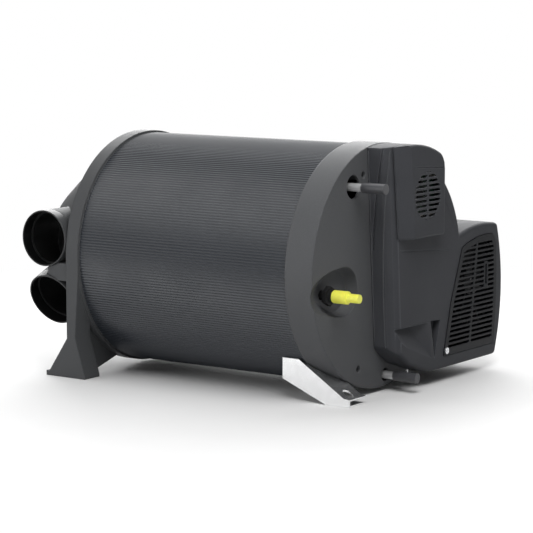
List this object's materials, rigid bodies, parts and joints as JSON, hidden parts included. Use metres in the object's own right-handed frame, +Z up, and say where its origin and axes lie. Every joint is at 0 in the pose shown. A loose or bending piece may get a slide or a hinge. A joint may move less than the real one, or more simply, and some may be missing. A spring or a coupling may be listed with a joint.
{
  "type": "caravan water heater",
  "caption": "Lying cylindrical gas water heater for caravans: conical air distributor with duct collars, ribbed jacket, slotted hood, capped pipe stubs and a rear flue.",
  "frame": {"origin": "middle of the base, on the floor", "axes": "+X along the cylinder towards the hood, +Y to the rear flue side, +Z up"},
  "size_m": [0.51, 0.45, 0.3],
  "materials": {
    "shell": "fine grained moulded plastic",
    "jacket": "ribbed satin plastic",
    "collar": "smooth moulded plastic",
    "bracket": "bright zinc coated sheet",
    "rivet": "satin",
    "cover_screw": "black coated",
    "grille_screw": "bright zinc",
    "tank": "satin stainless steel",
    "spacer": "moulded",
    "switch": "moulded",
    "sensor": "turned",
    "exchanger": "as cast",
    "burner": "heat resistant sheet",
    "electrode": "fired ceramic",
    "blower": "die cast",
    "motor": "satin",
    "shaft": "ground",
    "wheel": "moulded",
    "exhaust": "satin stainless steel",
    "duct": "satin",
    "seal": "matte",
    "valve": "die cast",
    "coil": "moulded",
    "feed": "drawn",
    "pipe": "bright drawn tube",
    "yellow_cap": "soft moulded plastic",
    "grey_cap": "soft moulded plastic",
    "module": "potted box",
    "shroud": "moulded",
    "carrier": "moulded",
    "board": "coated circuit board",
    "connector": "moulded"
  },
  "bodies": {
    "heater": {"distributor": "shell", "end_cover": "shell", "hood": "shell", "fan_box": "shell", "jacket": "jacket", "collar_upper_front": "collar", "collar_lower_front": "collar", "collar_upper_rear": "collar", "collar_lower_rear": "collar", "flue_collar": "collar", "foot_bracket": "bracket", "bracket_rivets": "rivet", "cover_screws": "cover_screw", "water_tank": "tank", "tank_spacer_left": "spacer", "tank_spacer_right": "spacer", "overheat_switch": "switch", "water_sensor": "sensor", "heat_exchanger": "exchanger", "burner_housing": "burner", "exhaust_manifold": "burner", "burner_tube": "burner", "burner_flange": "burner", "igniter_electrode": "electrode", "flame_electrode": "electrode", "blower_scroll": "blower", "blower_motor": "motor", "fan_motor": "motor", "exhaust_pipe": "exhaust", "air_duct": "duct", "flue_seal": "seal", "gas_seat": "seal", "gas_valve": "valve", "gas_coils": "coil", "gas_feed": "feed", "hot_pipe": "pipe", "cold_pipe": "pipe", "gas_pipe": "pipe", "ignition_module": "module", "fan_shroud": "shroud", "board_carrier": "carrier", "control_board": "board", "board_connectors": "connector"},
    "fan_rotor": {"fan_wheel": "wheel", "fan_shaft": "shaft"},
    "blower_rotor": {"blower_wheel": "wheel", "blower_shaft": "shaft"},
    "gas_cap": {"gas_cap": "yellow_cap"},
    "hot_cap": {"hot_cap": "grey_cap"},
    "cold_cap": {"cold_cap": "grey_cap"},
    "electronics_cover": {"electronics_cover": "shell"},
    "intake_grille": {"intake_grille": "shell", "grille_screw": "grille_screw"}
  },
  "joints": [
    {"name": "fan_spin", "type": "hinge", "parent": "heater", "child": "fan_rotor", "pos_m": [0.2084, 0.099, 0.118], "axis": [1, 0, 0], "continuous": true},
    {"name": "blower_spin", "type": "hinge", "parent": "heater", "child": "blower_rotor", "pos_m": [0.1704, -0.055, 0.1525], "axis": [1, 0, 0], "continuous": true},
    {"name": "gas_cap_pull", "type": "slide", "parent": "heater", "child": "gas_cap", "axis": [1, 0, 0], "range_m": [0, 0.05]},
    {"name": "hot_cap_pull", "type": "slide", "parent": "heater", "child": "hot_cap", "axis": [1, 0, 0], "range_m": [0, 0.05]},
    {"name": "cold_cap_pull", "type": "slide", "parent": "heater", "child": "cold_cap", "axis": [1, 0, 0], "range_m": [0, 0.05]},
    {"name": "electronics_cover_pull", "type": "slide", "parent": "heater", "child": "electronics_cover", "axis": [1, 0, 0], "range_m": [0, 0.06]},
    {"name": "intake_grille_pull", "type": "slide", "parent": "heater", "child": "intake_grille", "axis": [1, 0, 0], "range_m": [0, 0.06]}
  ]
}
